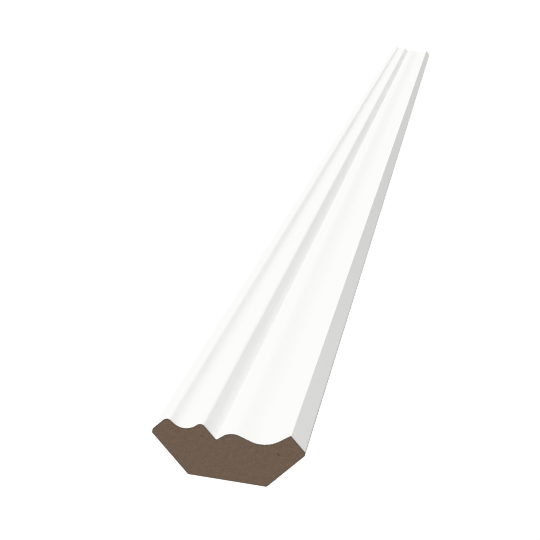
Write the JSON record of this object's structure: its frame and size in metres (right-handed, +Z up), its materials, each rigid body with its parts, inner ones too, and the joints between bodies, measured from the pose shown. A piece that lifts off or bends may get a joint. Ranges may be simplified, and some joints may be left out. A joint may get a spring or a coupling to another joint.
{
  "type": "crown moulding length",
  "caption": "Straight length of crown moulding: cyma, quirk, bead and cove along its face, a flat back, and bevels square to each other that seat on a wall and a ceiling.",
  "frame": {"origin": "on the floor under the middle of the stick, at the centre of its box's underside", "axes": "+X across the stick from the wall edge to the ceiling edge, +Y along its length, +Z up from the back flat to the moulded face"},
  "size_m": [0.0572, 2.438, 0.0207],
  "materials": {
    "primed_mdf": "matt factory primer on a moulded MDF face, bare MDF at the sawn ends"
  },
  "bodies": {
    "root": {"crown_moulding": "primed_mdf"}
  },
  "joints": []
}
